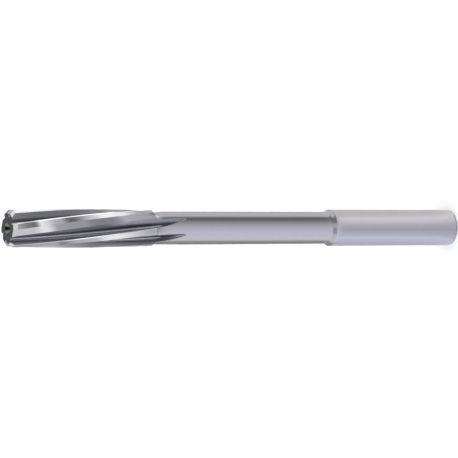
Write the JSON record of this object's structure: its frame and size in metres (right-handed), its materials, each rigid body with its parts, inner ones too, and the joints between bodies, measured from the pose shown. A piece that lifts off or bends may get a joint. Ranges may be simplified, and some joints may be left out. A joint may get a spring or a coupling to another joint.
{
  "type": "machine reamer",
  "caption": "Machine reamer with parallel shank, slim neck and short cutting part with left-hand helical flutes, relieved lands, a 45 degree lead and a centre hole in each end",
  "frame": {"origin": "centre of the flat shank end, on the tool's axis", "axes": "+Z runs along the tool's axis from the shank end to the cutting tip; +Y points away from the side where the first wide land starts at the tip, and +X completes the right-handed frame"},
  "size_m": [0.01, 0.01, 0.133],
  "materials": {
    "tool_steel": "ground"
  },
  "bodies": {
    "root": {"reamer": "tool_steel"}
  },
  "joints": []
}
